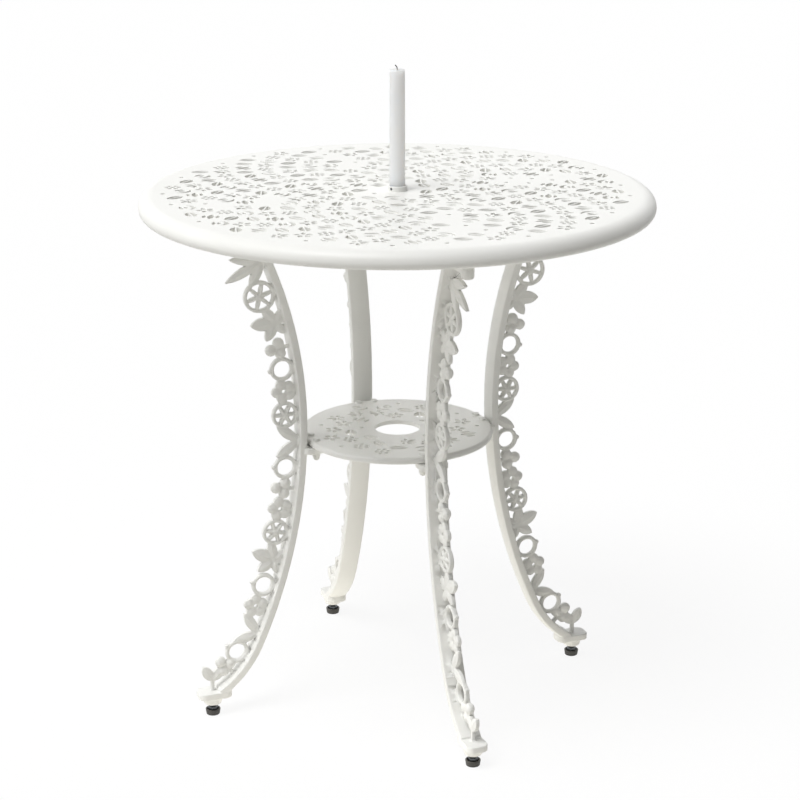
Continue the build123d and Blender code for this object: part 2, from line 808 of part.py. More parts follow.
with BuildPart() as foot_glide:
    with Locations((foot_circle_radius, 0, glide_height / 2)):
        Cone(glide_base_diameter / 2, glide_top_diameter / 2, glide_height)
    fillet(foot_glide.edges().filter_by(GeomType.CIRCLE), glide_edge_round)
    with Locations((foot_circle_radius, 0, glide_height)):
        CounterBoreHole(
            stud_diameter / 2 + running_clearance,
            glide_recess_diameter / 2,
            glide_recess_depth,
            depth=glide_height - glide_floor,
        )

for side_name, angle in zip(leg_sides, leg_angles):
    for piece, piece_name in [(foot_stud, "stud"), (foot_nut, "nut"), (foot_glide, "glide")]:
        with BuildPart() as turned_piece:
            add(piece.part.rotate(Axis.Z, angle))
        keep(turned_piece.part, "foot_" + piece_name + "_" + side_name)
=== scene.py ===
import bpy
from math import asin, atan, atan2, cos, hypot, radians, sin, sqrt, tau
from mathutils import Matrix, Vector, noise
from mathutils.geometry import delaunay_2d_cdt


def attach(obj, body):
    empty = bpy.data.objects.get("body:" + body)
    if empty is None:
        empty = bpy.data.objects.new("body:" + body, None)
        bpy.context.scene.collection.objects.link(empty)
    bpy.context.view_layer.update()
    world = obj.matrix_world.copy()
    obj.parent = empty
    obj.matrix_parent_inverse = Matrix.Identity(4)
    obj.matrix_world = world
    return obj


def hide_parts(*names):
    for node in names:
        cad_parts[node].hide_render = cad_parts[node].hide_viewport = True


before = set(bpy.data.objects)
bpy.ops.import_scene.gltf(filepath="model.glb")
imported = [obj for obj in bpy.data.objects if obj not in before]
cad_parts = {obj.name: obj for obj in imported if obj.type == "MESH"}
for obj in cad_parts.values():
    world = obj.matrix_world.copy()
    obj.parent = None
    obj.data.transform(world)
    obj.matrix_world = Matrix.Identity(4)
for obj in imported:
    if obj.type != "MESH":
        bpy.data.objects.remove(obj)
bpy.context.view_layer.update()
mm = 0.001

# Table top: one sand casting in aluminium, a pierced plate inside a plain border and a rim that turns down.
# Pairs of tapered sockets stand under it, joined by webs, and take the screws that hold the legs.
# The powder coat rounds every cast edge a little.
table_height = 750 * mm
top_radius = 360 * mm
plate_thickness = 6 * mm
border_width = 28 * mm
rim_round_width = 19 * mm
rim_round_depth = 16 * mm
rim_depth = 25 * mm
rim_steps = 10
lip_round_width = 7 * mm
lip_width = 13 * mm
lip_inner_round = 5 * mm
cast_edge = 0.7 * mm
# Where the middle of a rounded corner lies, as a share of its radius.
round_middle = 0.3
sharpest_corner = 0.3
merge_distance = 0.002 * mm
hub_radius = 22 * mm
hub_depth = 6 * mm
cup_neck_radius = 12.7 * mm
joint_height = 697 * mm
socket_circles = (188 * mm, 252 * mm)
socket_tip_radius = 9 * mm
socket_root_radius = 12 * mm
socket_root_fillet = 4 * mm
web_half_thickness = 3 * mm
web_drop = 20 * mm
web_edge = 1.5 * mm
leg_count = 4
turning_steps = 48
rim_turning_steps = 240
plate_radius = top_radius - rim_round_width
plate_underside = table_height - plate_thickness


def bow(start, end, rise, steps=6):
    """Points along the arc that stands off its chord by rise, on the left of the way from start to end."""
    chord = Vector(end) - Vector(start)
    middle = (Vector(start) + Vector(end)) / 2
    half = chord.length / 2
    bend = (half * half + rise * rise) / (2 * rise)
    spread = 2 * atan(rise / half)
    ahead = chord.normalized()
    aside = Vector((-ahead.y, ahead.x))
    points = []
    for step in range(steps):
        turn = spread * (2 * step / steps - 1)
        points.append(middle + ahead * bend * sin(turn) + aside * (bend * cos(turn) - bend + rise))
    return points


def leaf(length, width, place=(0, 0), turn=0.0):
    """Outline of a pointed leaf that starts at a place and grows the way that it is turned."""
    outline = bow((0, 0), (length, 0), width / 2) + bow((length, 0), (0, 0), width / 2)
    return [Matrix.Rotation(turn, 2) @ point + Vector(place) for point in outline]


def disc(radius, place=(0, 0), steps=14):
    """Outline of a disc."""
    return [
        Vector((radius * cos(tau * step / steps), radius * sin(tau * step / steps))) + Vector(place)
        for step in range(steps)
    ]


# Openings of the pierced foliage, each motif drawn about its own middle. A leaf's size is its length and
# its width.
split_leaf_length = 26 * mm
split_leaf_half_width = 6.8 * mm
split_leaf_rib = 2.4 * mm
split_leaf = []
for side in (-1, 1):
    rib_start = Vector((-split_leaf_length / 2, side * split_leaf_rib / 2))
    rib_end = Vector((split_leaf_length / 2, side * split_leaf_rib / 2))
    split_leaf.append([rib_start] + bow(rib_end, rib_start, -side * split_leaf_half_width, steps=8))
main_leaf = (26 * mm, 9 * mm)
side_leaf = (15 * mm, 5 * mm)
side_leaf_offset = 9.2 * mm
single_leaf = [leaf(*main_leaf, (-main_leaf[0] / 2, 0))]
for side in (-1, 1):
    single_leaf.append(leaf(*side_leaf, (-side_leaf[0] / 2, side * side_leaf_offset)))
berry_radius = 3.1 * mm
sprig_berry_place = (-8.4 * mm, 0)
sprig_root = Vector((-4.3 * mm, 0))
sprig_leaf = (13 * mm, 5.6 * mm)
sprig_spread = radians(42)
sprig_inset = 3.8 * mm
sprig_side_leaf = (8 * mm, 4.2 * mm)
sprig_side_spread = radians(100)
sprig_side_inset = 4.2 * mm
sprig = [disc(berry_radius, sprig_berry_place)]
for spread in (-sprig_spread, 0, sprig_spread):
    foot = sprig_root + Vector((cos(spread), sin(spread))) * sprig_inset
    sprig.append(leaf(*sprig_leaf, foot, spread))
for spread in (-sprig_side_spread, sprig_side_spread):
    foot = sprig_root + Vector((cos(spread), sin(spread))) * sprig_side_inset
    sprig.append(leaf(*sprig_side_leaf, foot, spread))
petal_count = 5
petal = (10 * mm, 6.4 * mm)
petal_inset = 3.2 * mm
rosette_openings = []
for index in range(petal_count):
    turn = tau * index / petal_count
    rosette_openings.append(leaf(*petal, (petal_inset * cos(turn), petal_inset * sin(turn)), turn))
lone_berry = [disc(berry_radius)]
berry_circle = 8.6 * mm
berries_around = 6
berry_openings = lone_berry + [disc(berry_radius, spot) for spot in disc(berry_circle, steps=berries_around)]
tendril_half_length = 12.5 * mm
tendril_outer_rise = 11 * mm
tendril_inner_rise = 5.5 * mm
tendril_leaf = (11 * mm, 4.6 * mm)
tendril_leaf_drop = 2.3 * mm
tendril_low_leaf = (17 * mm, 5 * mm)
tendril_low_drop = 9.2 * mm
tendril_ends = ((-tendril_half_length, 0), (tendril_half_length, 0))
tendril_outer = bow(*tendril_ends, tendril_outer_rise, steps=9)
tendril_inner = bow(*reversed(tendril_ends), -tendril_inner_rise, steps=7)
tendril = [tendril_outer + tendril_inner]
for size, drop in ((tendril_leaf, tendril_leaf_drop), (tendril_low_leaf, tendril_low_drop)):
    tendril.append(leaf(*size, (-size[0] / 2, -drop)))
motifs = [split_leaf, tendril, sprig, single_leaf, rosette_openings, split_leaf, berry_openings]
golden_angle = radians(180) * (3 - sqrt(5))
swirl_angle = radians(62)
swirl_scatter = radians(80)
lone_berry_room = 6 * mm
motif_kind_step = 0.7549
motif_turn_step = 0.5698


def foliage_openings(inner_radius, outer_radius, spacing, clear_spots):
    """Spread the motifs over a ring on a sunflower spiral, and lone berries where a motif has no room."""
    spiral_step = spacing / sqrt(3)
    reach = spacing / 2
    openings = []
    for index in range(int((outer_radius / spiral_step) ** 2)):
        radius = spiral_step * sqrt(index + 0.5)
        angle = golden_angle * index
        spot = Vector((radius * cos(angle), radius * sin(angle)))
        free = [(spot - clear).length - room for clear, room in clear_spots]
        room_around = min(free + [radius - inner_radius, outer_radius - radius])
        if room_around < lone_berry_room:
            continue
        whole = motifs[int(index * motif_kind_step % 1 * len(motifs))]
        motif = whole if room_around >= reach else lone_berry
        turn = angle + swirl_angle + (index * motif_turn_step % 1 - 0.5) * swirl_scatter
        for outline in motif:
            openings.append([Matrix.Rotation(turn, 2) @ point + spot for point in outline])
    return openings


def start_piece(name, data):
    """Link a new object, and select it alone."""
    piece = bpy.data.objects.new(name, data)
    bpy.context.collection.objects.link(piece)
    bpy.ops.object.select_all(action="DESELECT")
    piece.select_set(True)
    bpy.context.view_layer.objects.active = piece
    return piece


def close_mesh():
    """Merge the doubles of the active mesh and turn its faces outwards."""
    bpy.ops.object.mode_set(mode="EDIT")
    bpy.ops.mesh.select_all(action="SELECT")
    bpy.ops.mesh.remove_doubles(threshold=merge_distance)
    bpy.ops.mesh.normals_make_consistent(inside=False)
    bpy.ops.object.mode_set(mode="OBJECT")


# Kind of output of the triangulation, in which the faces are whole enough for a mesh.
whole_faces = 4


def edge_moved(outline, distance):
    """Outline moved to the left of its way round by a distance, with mitred corners."""
    moved = []
    for index, point in enumerate(outline):
        come = (point - outline[index - 1]).normalized()
        go = (outline[(index + 1) % len(outline)] - point).normalized()
        normal = Vector((-come.y, come.x))
        halfway = (normal + Vector((-go.y, go.x))).normalized()
        moved.append(point + halfway * distance / max(halfway.dot(normal), sharpest_corner))
    return moved


def pierced_plate(name, rim, openings, thickness, top):
    """Plate inside a rim, with rounded edges at its openings."""
    # Rows of an edge from the upper face down: how far into the plate and how far down, in cast edges.
    rows = [
        (1, 0),
        (round_middle, round_middle),
        (0, 1),
        (0, thickness / cast_edge - 1),
        (1, thickness / cast_edge),
    ]
    points = []
    faces = []
    cap = []
    loops = []
    for outline, way in [(rim, 0)] + [(opening, -1) for opening in openings]:
        area = sum(before.cross(after) for before, after in zip(outline, outline[1:] + outline[:1]))
        around = outline if area > 0 else outline[::-1]
        count = len(around)
        loops.append(list(range(len(cap), len(cap) + count)))
        cap.extend(edge_moved(around, way * cast_edge))
        first = len(points)
        for inward, drop in rows:
            for point in edge_moved(around, way * inward * cast_edge):
                points.append((point.x, point.y, top - drop * cast_edge))
        for row in range(len(rows) - 1):
            for index in range(count):
                here = first + row * count
                after = (index + 1) % count
                faces.append((here + index, here + after, here + count + after, here + count + index))
    cap_points, _, cap_faces, _, _, cap_loops = delaunay_2d_cdt(cap, [], loops, whole_faces, 0)
    for height in (top, top - thickness):
        for face, inside in zip(cap_faces, cap_loops):
            if inside == [0]:
                faces.append([len(points) + corner for corner in face])
        points.extend((point.x, point.y, height) for point in cap_points)
    mesh = bpy.data.meshes.new(name)
    mesh.from_pydata(points, [], faces)
    plate = start_piece(name, mesh)
    close_mesh()
    return plate


def turned(name, profile, steps, centre=(0, 0)):
    """Spin a closed profile of (radius, height) points round an upright axis."""
    mesh = bpy.data.meshes.new(name)
    rows = [(centre[0] + radius, centre[1], height) for radius, height in profile]
    mesh.from_pydata(rows, [(index, (index + 1) % len(rows)) for index in range(len(rows))], [])
    piece = start_piece(name, mesh)
    bpy.ops.object.mode_set(mode="EDIT")
    bpy.ops.mesh.select_all(action="SELECT")
    bpy.ops.mesh.spin(steps=steps, angle=tau, center=(*centre, 0), axis=(0, 0, 1))
    bpy.ops.object.mode_set(mode="OBJECT")
    close_mesh()
    return piece


def join(main, others):
    """Join the other pieces into the main one."""
    bpy.ops.object.select_all(action="DESELECT")
    for other in others:
        other.select_set(True)
    main.select_set(True)
    bpy.context.view_layer.objects.active = main
    bpy.ops.object.join()


socket_spots = [
    Vector((circle * cos(tau * index / leg_count), circle * sin(tau * index / leg_count)))
    for index in range(leg_count)
    for circle in socket_circles
]
top_motif_spacing = 30 * mm
socket_roots = [(spot, socket_root_radius) for spot in socket_spots]
top_openings = foliage_openings(hub_radius, top_radius - border_width, top_motif_spacing, socket_roots)
top = pierced_plate(
    "top_casting",
    disc(plate_radius, steps=rim_turning_steps),
    [disc(cup_neck_radius, steps=turning_steps)] + top_openings,
    plate_thickness,
    table_height,
)
rim_profile = [(plate_radius, plate_underside), (plate_radius, table_height)]
for step in range(1, rim_steps + 1):
    turn = tau / 4 * (1 - step / rim_steps)
    rim_profile.append((
        plate_radius + rim_round_width * cos(turn),
        table_height - rim_round_depth + rim_round_depth * sin(turn),
    ))
for step in range(1, rim_steps + 1):
    turn = -tau / 4 * step / rim_steps
    rim_profile.append((
        top_radius - lip_round_width + lip_round_width * cos(turn),
        table_height - rim_round_depth + (rim_depth - rim_round_depth) * sin(turn),
    ))
rim_profile.append((top_radius - lip_width + cast_edge, table_height - rim_depth))
rim_profile.append((top_radius - lip_width, table_height - rim_depth + cast_edge))
rim_profile.append((top_radius - lip_width - lip_inner_round, plate_underside))
top_pieces = [turned("rim", rim_profile, rim_turning_steps)]
socket_profile = [
    (0, plate_underside + cast_edge),
    (0, joint_height),
    (socket_tip_radius - cast_edge, joint_height),
    (socket_tip_radius, joint_height + cast_edge),
    (socket_root_radius, plate_underside - socket_root_fillet),
    (
        socket_root_radius + socket_root_fillet * round_middle,
        plate_underside - socket_root_fillet * round_middle,
    ),
    (socket_root_radius + socket_root_fillet, plate_underside + cast_edge),
]
for spot in socket_spots:
    top_pieces.append(turned("socket", socket_profile, turning_steps, (spot.x, spot.y)))
hub_profile = [
    (cup_neck_radius, plate_underside + cast_edge),
    (cup_neck_radius, plate_underside - hub_depth),
    (hub_radius - cast_edge, plate_underside - hub_depth),
    (hub_radius, plate_underside - hub_depth + cast_edge),
    (hub_radius + cast_edge, plate_underside + cast_edge),
]
top_pieces.append(turned("hub", hub_profile, turning_steps))
for index in range(leg_count):
    bpy.ops.object.select_all(action="DESELECT")
    bpy.ops.mesh.primitive_cube_add(size=2)
    web = bpy.context.object
    web_length = socket_circles[1] - socket_circles[0]
    web_place = (sum(socket_circles) / 2, 0, plate_underside - web_drop / 2 + cast_edge)
    web.data.transform(Matrix.Diagonal((web_length / 2, web_half_thickness, web_drop / 2, 1)))
    web.data.transform(Matrix.Translation(web_place))
    web.data.transform(Matrix.Rotation(tau * index / leg_count, 4, "Z"))
    bpy.ops.object.mode_set(mode="EDIT")
    bpy.ops.mesh.select_all(action="SELECT")
    bpy.ops.mesh.bevel(offset=web_edge, segments=2)
    bpy.ops.object.mode_set(mode="OBJECT")
    top_pieces.append(web)
join(top, top_pieces)
smooth_angle = radians(40)


def shade_soft_edges(piece):
    """Shade the active piece smooth at its rounded edges, and flat where its faces are flat."""
    bpy.ops.object.shade_smooth_by_angle(angle=smooth_angle)
    flats = piece.modifiers.new("flats", "WEIGHTED_NORMAL")
    flats.keep_sharp = True
    bpy.ops.object.modifier_apply(modifier="flats")


shade_soft_edges(top)


def linear(hex_colour):
    """Linear colour of an sRGB hex value."""
    shares = [int(hex_colour[place:place + 2], 16) / 255 for place in (1, 3, 5)]
    return [share / 12.92 if share <= 0.04045 else ((share + 0.055) / 1.055) ** 2.4 for share in shares] + [1]


def add_node(material, kind, inputs, **settings):
    """Add a node with its settings, and give or link its inputs."""
    node = material.node_tree.nodes.new(kind)
    for name, value in settings.items():
        setattr(node, name, value)
    for name, value in inputs.items():
        if isinstance(value, bpy.types.NodeSocket):
            material.node_tree.links.new(value, node.inputs[name])
        else:
            node.inputs[name].default_value = value
    return node


def start_material(name, **shader_values):
    """New material with constant values on its shader, and the shader itself."""
    material = bpy.data.materials.new(name)
    material.use_nodes = True
    shader = material.node_tree.nodes["Principled BSDF"]
    for socket, value in shader_values.items():
        shader.inputs[socket.replace("_", " ")].default_value = value
    return material, shader


# White polyester powder coat, baked on a blasted casting: satin, very slightly uneven in tone, with the low
# ripple called orange peel. The ripple is about 2 mm apart on the real coat and is drawn at 3 mm to show.
peel_spacing = 3 * mm
tone_spacing = 90 * mm
powder_coat, shader = start_material("white_powder_coat", IOR=1.5)
place = add_node(powder_coat, "ShaderNodeTexCoord", {}).outputs["Object"]
tone = add_node(powder_coat, "ShaderNodeTexNoise", {"Vector": place, "Scale": 1 / tone_spacing, "Detail": 3})
coat = add_node(
    powder_coat,
    "ShaderNodeMixRGB",
    {"Fac": tone.outputs["Fac"], "Color1": linear("#ebebe7"), "Color2": linear("#f2f2ef")},
)
peel = add_node(powder_coat, "ShaderNodeTexNoise", {"Vector": place, "Scale": 1 / peel_spacing, "Detail": 2})
gloss = add_node(
    powder_coat, "ShaderNodeMapRange", {"Value": peel.outputs["Fac"], "To Min": 0.36, "To Max": 0.5}
)
ripple = add_node(
    powder_coat,
    "ShaderNodeBump",
    {"Height": peel.outputs["Fac"], "Strength": 0.5, "Distance": 0.25 * mm},
)
links = powder_coat.node_tree.links
links.new(coat.outputs["Color"], shader.inputs["Base Color"])
links.new(gloss.outputs["Result"], shader.inputs["Roughness"])
links.new(ripple.outputs["Normal"], shader.inputs["Normal"])


def fit_piece(piece, material, body, slot, *nodes):
    """Give a finished piece its material and body, in place of its plain solids; its slot is not used."""
    piece.data.materials.clear()
    piece.data.materials.append(material)
    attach(piece, body)
    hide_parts(*nodes)


fit_piece(top, powder_coat, "frame", "powder_coat", "table_top")

# Legs: each is one sand casting, a bowed strip with a rounded inner face, an arm with two lugs at the top, a
# foot pad at the bottom, and foliage standing on its outer edge. The foliage is modelled in relief on both
# sides, and the sand and the powder coat leave every edge soft.
leg_top = (201 * mm, joint_height - 4 * mm)
waist = (142 * mm, 428 * mm)
knee = (214 * mm, 100 * mm)
foot_end = (275 * mm, 30.5 * mm)
strip_thickness = 10 * mm
foliage_foot_gap = 20 * mm
stalk_root = 2 * mm
foot_circle = 287 * mm
bud_root_height = 51.5 * mm
leg_grain = 1.2 * mm
leg_softening = 0.5
leg_softening_rounds = 4
leg_thinning = 0.5
upper_rise = leg_top[1] - waist[1]
upper_flare = leg_top[0] - waist[0]
upper_bend = (upper_rise**2 + upper_flare**2) / (2 * upper_flare)
upper_angle = asin(upper_rise / upper_bend)
lower_rise = waist[1] - knee[1]
lower_flare = knee[0] - waist[0]
lower_bend = (lower_rise**2 + lower_flare**2) / (2 * lower_flare)
lower_angle = asin(lower_rise / lower_bend)
foot_chord = hypot(foot_end[0] - knee[0], knee[1] - foot_end[1])
foot_turn = atan2(foot_end[0] - knee[0], knee[1] - foot_end[1]) - lower_angle
foot_bend = foot_chord / (2 * sin(foot_turn))
leg_stretches = [
    (upper_bend, -upper_angle, 0, leg_top),
    (lower_bend, 0, lower_angle, waist),
    (foot_bend, lower_angle, lower_angle + 2 * foot_turn, knee),
]
leg_length = sum(bend * (end - start) for bend, start, end, place in leg_stretches)


def beside_leg(distance):
    """Place on the strip's outer face, turned to face outwards, at a distance along the leg from its top."""
    for bend, start, end, place in leg_stretches:
        tilt = start + distance / bend
        if tilt <= end:
            break
        distance -= bend * (end - start)
    face = bend - strip_thickness
    across = place[0] + bend * cos(start) - face * cos(tilt)
    height = place[1] + bend * sin(start) - face * sin(tilt)
    return Matrix.Translation((across, 0, height)) @ Matrix.Rotation(-tilt, 4, "Y")


# Each motif is a list of leaves (place, turn, length, width), beads (place, radius, relief) and bands (place,
# radius, width), drawn outwards along the first axis and along the leg on the second.
leaf_relief = 4.4 * mm
midrib_relief = 5.4 * mm
midrib_half_width = 0.9 * mm
band_relief = 4.3 * mm
leaf_fullness = 0.86
blade_share = 0.96
midrib_share = 0.92
band_segments = 40
band_rounding = 12
bead_segments = 32
bead_rings = 16


def ring_of(count, radius, place):
    """Places in a ring."""
    turns = [tau * index / count for index in range(count)]
    return [(place[0] + radius * cos(turn), place[1] + radius * sin(turn)) for turn in turns]


rosette_petal_count = 6
rosette_petal_width = 6 * mm
rosette_petal_gap = 2.5 * mm
rosette_band_width = 5 * mm
rosette_bead = (6 * mm, 5.6 * mm)


def rosette(radius):
    """Ring holding a flower of pointed petals."""
    middle = (radius - stalk_root / 2, 0)
    parts = [("band", middle, radius, rosette_band_width), ("bead", middle, *rosette_bead)]
    for index in range(rosette_petal_count):
        turn = tau * index / rosette_petal_count
        parts.append(("leaf", middle, turn, radius - rosette_petal_gap, rosette_petal_width))
    return parts


wide_rosette = rosette(23 * mm)
slim_rosette = rosette(19.5 * mm)
plume_leaf_width = 14 * mm
plume = [
    ("leaf", (-stalk_root, 0), radians(turn), length * mm, plume_leaf_width)
    for turn, length in ((28, 49), (-4, 62), (-38, 42))
]
ivy_middle = (11 * mm, 0)
ivy_lobe_length = 37 * mm
ivy_lobe_width = 19 * mm
ivy_leaf = [
    ("leaf", ivy_middle, radians(turn), ivy_lobe_length * share, ivy_lobe_width * share)
    for turn, share in ((12, 1), (64, 0.8), (-46, 0.8), (128, 0.56), (-112, 0.56))
]
berry_bead = (8 * mm, 6.6 * mm)
berries = [("bead", spot, *berry_bead) for spot in ring_of(3, 8.6 * mm, (19 * mm, 0))]
ring = [("band", (16.5 * mm, 0), 17.5 * mm, 5.5 * mm), ("bead", (34 * mm, 0), 3.2 * mm, 4 * mm)]
flower_middle = (18 * mm, 0)
flower_petal = (7.6 * mm, 4.8 * mm)
flower = [("bead", spot, *flower_petal) for spot in ring_of(5, 10.4 * mm, flower_middle)]
flower.append(("band", flower_middle, 6.6 * mm, 3.4 * mm))
twin_spread = radians(34)
twin_leaf = (40 * mm, 15 * mm)
twin_leaves = [("leaf", (-stalk_root, 0), side * twin_spread, *twin_leaf) for side in (-1, 1)]
bud_leaf = (27 * mm, 15 * mm)
bud = [("leaf", (0, 0), radians(turn), *bud_leaf) for turn in (60, 130)]
foliage = [
    plume,
    wide_rosette,
    ivy_leaf,
    berries,
    ring,
    flower,
    slim_rosette,
    twin_leaves,
    ring,
    berries,
    flower,
    slim_rosette,
    ivy_leaf,
    ring,
    flower,
    twin_leaves,
    ring,
    berries,
]


def length_along(motif):
    """Length that a motif takes along the leg."""
    ends = []
    for part in motif:
        if part[0] == "leaf":
            ends.extend(point.y for point in leaf(part[3], part[4], part[1], part[2]))
        else:
            ends.extend((part[1][1] - part[2], part[1][1] + part[2]))
    return max(ends) - min(ends)


def relief(motif, place):
    """Model a motif's leaves, beads and bands in relief, and return the new pieces."""
    pieces = []
    for kind, spot, *sizes in motif:
        at = place @ Matrix.Translation((spot[0], 0, spot[1]))
        bpy.ops.object.select_all(action="DESELECT")
        if kind == "band":
            radius, width = sizes
            bpy.ops.mesh.primitive_torus_add(
                major_radius=radius - width / 2,
                minor_radius=width / 2,
                major_segments=band_segments,
                minor_segments=band_rounding,
            )
            piece = bpy.context.object
            piece.data.transform(Matrix.Diagonal((1, 1, 2 * band_relief / width, 1)))
            piece.data.transform(at @ Matrix.Rotation(tau / 4, 4, "X"))
            pieces.append(piece)
            continue
        if kind == "leaf":
            turn, length, width = sizes
            at = at @ Matrix.Rotation(-turn, 4, "Y") @ Matrix.Translation((length / 2, 0, 0))
            blade = (length * blade_share / 2, leaf_relief, width / 2 * leaf_fullness)
            midrib = (length * midrib_share / 2, midrib_relief, midrib_half_width)
            forms = [blade, midrib]
        else:
            radius, height = sizes
            forms = [(radius, height, radius)]
        for form in forms:
            bpy.ops.mesh.primitive_uv_sphere_add(radius=1, segments=bead_segments, ring_count=bead_rings)
            piece = bpy.context.object
            piece.data.transform(at @ Matrix.Diagonal((*form, 1)))
            pieces.append(piece)
    return pieces


leg = start_piece("leg_casting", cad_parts["leg_right"].data.copy())
leg_pieces = relief(bud, Matrix.Translation((foot_circle, 0, bud_root_height)))
foliage_lengths = [length_along(motif) for motif in foliage]
foliage_gap = (leg_length - foliage_foot_gap - sum(foliage_lengths)) / len(foliage)
reached = 0
for motif, length in zip(foliage, foliage_lengths):
    leg_pieces.extend(relief(motif, beside_leg(reached + length / 2)))
    reached += length + foliage_gap
bpy.ops.object.select_all(action="DESELECT")
leg.select_set(True)
bpy.context.view_layer.objects.active = leg
close_mesh()
join(leg, leg_pieces)
leg.data.remesh_voxel_size = leg_grain
bpy.ops.object.voxel_remesh()
soften = leg.modifiers.new("soften", "SMOOTH")
soften.factor = leg_softening
soften.iterations = leg_softening_rounds
bpy.ops.object.modifier_apply(modifier="soften")
thin = leg.modifiers.new("thin", "DECIMATE")
thin.ratio = leg_thinning
bpy.ops.object.modifier_apply(modifier="thin")
bpy.ops.object.shade_smooth()
leg_sides = ("right", "back", "left", "front")
legs = [leg]
for index in range(1, leg_count):
    copied = start_piece("leg_casting", leg.data.copy())
    copied.data.transform(Matrix.Rotation(tau * index / leg_count, 4, "Z"))
    legs.append(copied)
for piece, side in zip(legs, leg_sides):
    piece.name = "leg_casting_" + side
    fit_piece(piece, powder_coat, "frame", "powder_coat", "leg_" + side)

# Shelf: one sand casting, a pierced disc with a thicker rounded border and a plain round hole in the middle.
# It lies on the lugs of the legs and is held by screws through its border.
shelf_top = 402 * mm
shelf_radius = 137.5 * mm
shelf_border = 15 * mm
shelf_edge_depth = 10 * mm
shelf_edge_round = 4 * mm
shelf_hole_radius = 32.5 * mm
shelf_hole_border = 9 * mm
shelf_motif_spacing = 29 * mm
shelf_turning_steps = 160
shelf_hole_steps = 96
shelf_plate_radius = shelf_radius - shelf_border
shelf_bottom = shelf_top - shelf_edge_depth
shelf_plain_radius = shelf_hole_radius + shelf_hole_border
shelf_openings = foliage_openings(shelf_plain_radius, shelf_plate_radius, shelf_motif_spacing, [])
shelf = pierced_plate(
    "shelf_casting",
    disc(shelf_plate_radius, steps=shelf_turning_steps),
    [disc(shelf_hole_radius, steps=shelf_hole_steps)] + shelf_openings,
    plate_thickness,
    shelf_top,
)
shelf_profile = [(shelf_plate_radius, shelf_top)]
shelf_corners = [(shelf_top - shelf_edge_round, tau / 4), (shelf_bottom + shelf_edge_round, 0)]
for corner_height, first_turn in shelf_corners:
    for step in range(rim_steps + 1):
        turn = first_turn - tau / 4 * step / rim_steps
        shelf_profile.append((
            shelf_radius - shelf_edge_round + shelf_edge_round * cos(turn),
            corner_height + shelf_edge_round * sin(turn),
        ))
shelf_profile.append((shelf_plate_radius + cast_edge, shelf_bottom))
shelf_profile.append((shelf_plate_radius, shelf_bottom + cast_edge))
join(shelf, [turned("shelf_border", shelf_profile, shelf_turning_steps)])
shade_soft_edges(shelf)
fit_piece(shelf, powder_coat, "frame", "powder_coat", "shelf")

# Leg screws and washers: socket-head screws in the counterbores of the leg lugs, driven up into the sockets
# of the top, each on a flat washer. They are cold-headed steel, plated with zinc.
leg_screw_edge = 0.4 * mm
flat_angle = radians(2)
rounding_segments = 2


def softened(node, name, edge):
    """Copy of a node's solid with its sharp edges rounded."""
    piece = start_piece(name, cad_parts[node].data.copy())
    close_mesh()
    bpy.ops.object.mode_set(mode="EDIT")
    bpy.ops.mesh.select_all(action="SELECT")
    bpy.ops.mesh.dissolve_limited(angle_limit=flat_angle)
    bpy.ops.object.mode_set(mode="OBJECT")
    rounding = piece.modifiers.new("rounding", "BEVEL")
    rounding.width = edge
    rounding.segments = rounding_segments
    rounding.limit_method = "ANGLE"
    rounding.angle_limit = smooth_angle
    bpy.ops.object.modifier_apply(modifier="rounding")
    shade_soft_edges(piece)
    return piece


# Zinc plate on steel, given a dark bluish grey as painted shade, so that the studs and nuts in the glides'
# dark recesses look shaded; its tone is clouded at random in patches of a few millimetres.
cloud_spacing = 4 * mm
zinc_plate, shader = start_material("zinc_plate_painted_shade", Metallic=1)
place = add_node(zinc_plate, "ShaderNodeTexCoord", {}).outputs["Object"]
cloud = add_node(zinc_plate, "ShaderNodeTexNoise", {"Vector": place, "Scale": 1 / cloud_spacing, "Detail": 3})
plate_tone = add_node(
    zinc_plate,
    "ShaderNodeMixRGB",
    {"Fac": cloud.outputs["Fac"], "Color1": linear("#4b4d50"), "Color2": linear("#7b7e80")},
)
plate_gloss = add_node(
    zinc_plate, "ShaderNodeMapRange", {"Value": cloud.outputs["Fac"], "To Min": 0.24, "To Max": 0.46}
)
links = zinc_plate.node_tree.links
links.new(plate_tone.outputs["Color"], shader.inputs["Base Color"])
links.new(plate_gloss.outputs["Result"], shader.inputs["Roughness"])
for node in ("leg_screws", "leg_screw_washers"):
    fit_piece(softened(node, "plated_" + node, leg_screw_edge), zinc_plate, "frame", "zinc_steel", node)

# Shelf screws, washers and domed cap nuts: pairs through the shelf's border and the lug of each leg, slotted
# on top and closed below. They are steel, painted white with a brush after assembly.
shelf_screw_edge = 0.35 * mm

# White enamel paint, brushed on: glossier than the coat, with streaks and a slightly uneven film.
brush_spacing = 2.5 * mm
white_paint, shader = start_material("white_enamel_paint", IOR=1.48)
place = add_node(white_paint, "ShaderNodeTexCoord", {}).outputs["Object"]
brushed = add_node(
    white_paint, "ShaderNodeTexNoise", {"Vector": place, "Scale": 1 / brush_spacing, "Detail": 2}
)
paint_tone = add_node(
    white_paint,
    "ShaderNodeMixRGB",
    {"Fac": brushed.outputs["Fac"], "Color1": linear("#e6e6e1"), "Color2": linear("#f0f0ed")},
)
paint_gloss = add_node(
    white_paint, "ShaderNodeMapRange", {"Value": brushed.outputs["Fac"], "To Min": 0.22, "To Max": 0.4}
)
paint_film = add_node(
    white_paint, "ShaderNodeBump", {"Height": brushed.outputs["Fac"], "Strength": 0.3, "Distance": 0.1 * mm}
)
links = white_paint.node_tree.links
links.new(paint_tone.outputs["Color"], shader.inputs["Base Color"])
links.new(paint_gloss.outputs["Result"], shader.inputs["Roughness"])
links.new(paint_film.outputs["Normal"], shader.inputs["Normal"])
